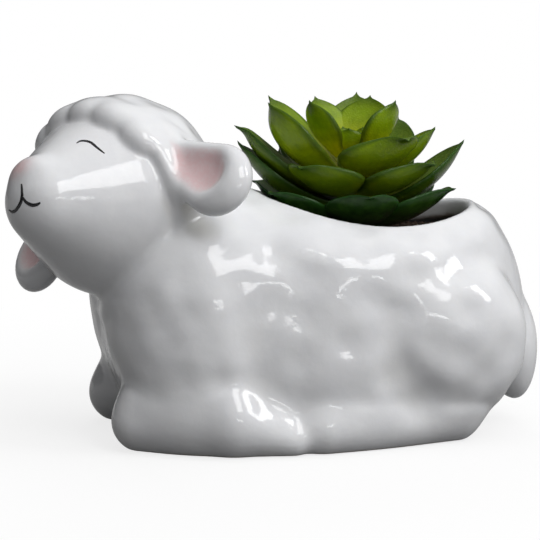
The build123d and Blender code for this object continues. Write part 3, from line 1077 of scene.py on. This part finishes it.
def floor_piece():
    """Pale floor that keeps the shadow near the object and fades to plain white further off."""
    mesh = bpy.data.meshes.new("floor")
    corners = [(x * FLOOR_HALF, y * FLOOR_HALF, 0) for x, y in ((-1, -1), (1, -1), (1, 1), (-1, 1))]
    mesh.from_pydata(corners, [], [(0, 1, 2, 3)])
    floor = bpy.data.objects.new("floor", mesh)
    bpy.context.scene.collection.objects.link(floor)
    n = Nodes("pale_floor")
    place = n.add("TexCoord").outputs["Object"]
    away = n.add("VectorMath", operation="LENGTH")
    n.join(place, away.inputs[0])
    seen = seen_directly(n)
    color = n.mix(seen, FLOOR_BOUNCE, FLOOR_SEEN)
    n.shader.inputs["Roughness"].default_value = 0.9
    n.shader.inputs["Specular IOR Level"].default_value = 0.0
    n.set(Base_Color=color)
    white = n.add("Emission")
    blend = n.add("MixShader")
    share = n.math("MULTIPLY", seen, n.span(away.outputs["Value"], *FLOOR_FADE, FLOOR_WHITE_NEAR, 1.0))
    n.join(share, blend.inputs[0])
    n.join(n.shader.outputs[0], blend.inputs[1])
    n.join(white.outputs[0], blend.inputs[2])
    n.join(blend.outputs[0], n.output.inputs["Surface"])
    mesh.materials.append(n.material)


def studio_world():
    """Soft light from all round, bright over the tail end, dim at the head end and white to the camera."""
    world = bpy.data.worlds.new("studio")
    world.use_nodes = True
    bpy.context.scene.world = world
    tree = world.node_tree
    surface = tree.nodes["Background"]
    place = tree.nodes.new("ShaderNodeTexCoord")
    facing = tree.nodes.new("ShaderNodeVectorMath")
    facing.operation = "DOT_PRODUCT"
    facing.inputs[1].default_value = unit(WORLD_LIGHT_FROM)
    tree.links.new(place.outputs["Generated"], facing.inputs[0])
    strength = tree.nodes.new("ShaderNodeMapRange")
    strength.inputs["To Min"].default_value = WORLD_DIM
    strength.inputs["To Max"].default_value = WORLD_BRIGHT
    tree.links.new(facing.outputs["Value"], strength.inputs["Value"])
    path = tree.nodes.new("ShaderNodeLightPath")
    backdrop = tree.nodes.new("ShaderNodeMath")
    backdrop.operation = "MAXIMUM"
    tree.links.new(strength.outputs["Result"], backdrop.inputs[0])
    tree.links.new(path.outputs["Is Camera Ray"], backdrop.inputs[1])
    tree.links.new(backdrop.outputs[0], surface.inputs["Strength"])
    surface.inputs["Color"].default_value = (1.0, 1.0, 1.0, 1.0)


def direction(azimuth, elevation):
    """Way to a place round the object, in degrees; azimuth 0 is in front, positive towards the tail."""
    turn, up = math.radians(azimuth), math.radians(elevation)
    return Vector((math.sin(turn) * math.cos(up), -math.cos(turn) * math.cos(up), math.sin(up)))


def aim(thing, target):
    """Turn a lamp or camera to face the target."""
    thing.rotation_euler = (Vector(target) - thing.location).to_track_quat("-Z", "Y").to_euler()


def softbox(name, azimuth, elevation, width, height, power, mirrored):
    """Rectangular lamp; the ones that only fill leave no mirror image in the glaze."""
    lamp = bpy.data.lights.new(name, "AREA")
    lamp.shape = "RECTANGLE"
    lamp.size, lamp.size_y = width, height
    lamp.energy = power
    box = bpy.data.objects.new(name, lamp)
    box.visible_glossy = mirrored
    box.location = Vector(LAMP_TARGET) + direction(azimuth, elevation) * LAMP_DISTANCE
    aim(box, LAMP_TARGET)
    bpy.context.scene.collection.objects.link(box)


def photo_camera():
    """Camera at the photograph's angle and frame."""
    azimuth, elevation, distance = -12.0, 8.0, 0.7
    target = Vector((0.0, 0.0, 0.0451))
    pixel_at_target = 0.0002814
    frame_pixels = 540
    data = bpy.data.cameras.new("camera")
    data.sensor_width = 36.0
    data.lens = data.sensor_width * distance / (pixel_at_target * frame_pixels)
    camera = bpy.data.objects.new("camera", data)
    camera.location = target + direction(azimuth, elevation) * distance
    aim(camera, target)
    bpy.context.scene.collection.objects.link(camera)
    bpy.context.scene.camera = camera


def dress():
    """Every piece with its material; the new pieces ride on their bodies."""
    glaze, ink, leaf_skin = glaze_material(), ink_material(), leaf_material()
    pot = ceramic_piece()
    pot.data.materials.append(glaze)
    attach(pot, "pot")
    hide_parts("body_casting", "head_casting", "left_ear", "right_ear", "tail")
    lines = [
        painted_line("left_eye_line", EYE_LINE, SKULL, EYE_HALF_WIDTH),
        painted_line("right_eye_line", EYE_LINE, SKULL, EYE_HALF_WIDTH, side=-1),
        painted_line("lip_line", LIP_LINE, MOUTH_CENTRE, LIP_HALF_WIDTH),
        painted_line("cheek_line", CHEEK_LINE, MOUTH_CENTRE, CHEEK_HALF_WIDTH),
    ]
    for line in lines:
        line.data.materials.append(ink)
        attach(line, "pot")
    fill = soil_piece()
    fill.data.materials.append(soil_material())
    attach(fill, "pot")
    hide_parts("soil")
    for ring, (*_, ways, _, _) in LEAF_RINGS.items():
        for number in range(1, len(ways) + 1):
            leaf = leaf_piece(f"{ring}_leaf_{number}_skin", ring, number)
            leaf.data.materials.append(leaf_skin)
            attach(leaf, "succulent")
            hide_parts(f"{ring}_leaf_{number}")
    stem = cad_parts["stem"]
    stem.data.materials.clear()
    stem.data.materials.append(stem_material())


dress()
floor_piece()
studio_world()
for lamp_name, lamp_values in LAMPS.items():
    softbox(lamp_name, *lamp_values)
photo_camera()
bpy.context.scene.view_settings.view_transform = "Standard"
